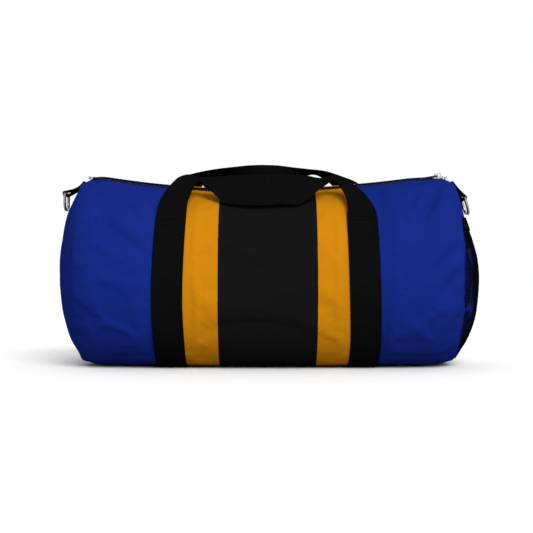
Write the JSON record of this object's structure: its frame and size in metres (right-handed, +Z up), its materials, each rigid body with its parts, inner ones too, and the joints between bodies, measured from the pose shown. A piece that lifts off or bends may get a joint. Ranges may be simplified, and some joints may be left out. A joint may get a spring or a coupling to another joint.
{
  "type": "duffel bag",
  "caption": "Barrel duffel bag with domed ends, a full-length top zip, webbing carry handles, end rings for a shoulder strap and a mesh end pocket.",
  "frame": {"origin": "on the floor, below the middle of the bag", "axes": "+X runs along the bag to the end with the mesh pocket, +Y points to the back, +Z is up"},
  "size_m": [0.5389, 0.2558, 0.2634],
  "materials": {
    "printed_cloth": "printed polyester plain weave in blue, gold and black bands",
    "blue_cloth": "blue polyester plain weave",
    "lining_cloth": "thin black coated lining",
    "binding_tape": "black grosgrain binding",
    "zipper_tape": "black woven zip tape",
    "zipper_coil": "black nylon coil",
    "nickel": "bright nickel plate",
    "black_pull": "black painted puller",
    "black_webbing": "black polypropylene webbing",
    "black_thread": "black bonded thread",
    "black_mesh": "black polyester mesh",
    "black_elastic": "black woven elastic"
  },
  "bodies": {
    "bag": {"body_wrap": "printed_cloth", "end_panel_left": "blue_cloth", "end_panel_right": "blue_cloth", "handle_tacks": "black_thread", "lining_end_left": "lining_cloth", "lining_end_right": "lining_cloth", "lining_wrap": "lining_cloth", "pocket_elastic": "black_elastic", "pocket_mesh": "black_mesh", "seam_binding_left": "binding_tape", "seam_binding_right": "binding_tape", "webbing_band_left": "black_webbing", "webbing_band_right": "black_webbing", "zipper_bottom_stop": "nickel", "zipper_coil_back": "zipper_coil", "zipper_coil_front": "zipper_coil", "zipper_tape_back": "zipper_tape", "zipper_tape_front": "zipper_tape", "zipper_top_stops": "nickel"},
    "slider": {"zipper_slider": "nickel"},
    "pull": {"zipper_pull": "black_pull"},
    "tab_left": {"ring_tab_left": "black_webbing"},
    "ring_left": {"d_ring_left": "nickel"},
    "tab_right": {"ring_tab_right": "black_webbing"},
    "ring_right": {"d_ring_right": "nickel"},
    "front_legs": {"handle_front_legs": "black_webbing"},
    "front_grip": {"handle_front_grip": "black_webbing"},
    "back_handle": {"handle_back": "black_webbing"}
  },
  "joints": [
    {"name": "zip_travel", "type": "hinge", "parent": "bag", "child": "slider", "pos_m": [0, 0, 1.61603], "axis": [0, 1, 0], "range_deg": [0, 18.4]},
    {"name": "pull_flip", "type": "hinge", "parent": "slider", "child": "pull", "pos_m": [0.22196, 0, 0.24657], "axis": [0, 1, 0], "range_deg": [0, 130]},
    {"name": "tab_left_bend", "type": "hinge", "parent": "bag", "child": "tab_left", "pos_m": [-0.242, 0, 0.2375], "axis": [0, 1, 0], "range_deg": [0, 70]},
    {"name": "ring_left_swing", "type": "hinge", "parent": "tab_left", "child": "ring_left", "pos_m": [-0.2635, 0, 0.223], "axis": [0, 1, 0], "range_deg": [0, 140]},
    {"name": "tab_right_bend", "type": "hinge", "parent": "bag", "child": "tab_right", "pos_m": [0.242, 0, 0.2378], "axis": [0, -1, 0], "range_deg": [0, 80]},
    {"name": "ring_right_swing", "type": "hinge", "parent": "tab_right", "child": "ring_right", "pos_m": [0.2558, 0, 0.2175], "axis": [0, -1, 0], "range_deg": [0, 140]},
    {"name": "front_handle_lift", "type": "hinge", "parent": "front_legs", "child": "front_grip", "pos_m": [0, -0.0635, 0.2415], "axis": [-1, 0, 0], "range_deg": [0, 160]},
    {"name": "front_handle_lean", "type": "hinge", "parent": "bag", "child": "front_legs", "pos_m": [0, -0.0945, 0.192], "axis": [1, 0, 0], "range_deg": [0, 20]},
    {"name": "back_handle_swing", "type": "hinge", "parent": "bag", "child": "back_handle", "pos_m": [0, 0.0945, 0.192], "axis": [-1, 0, 0], "range_deg": [0, 112]}
  ],
  "couplings": [
    {"joint": "front_handle_lean", "follows": "front_handle_lift", "ratio": 0.12}
  ]
}
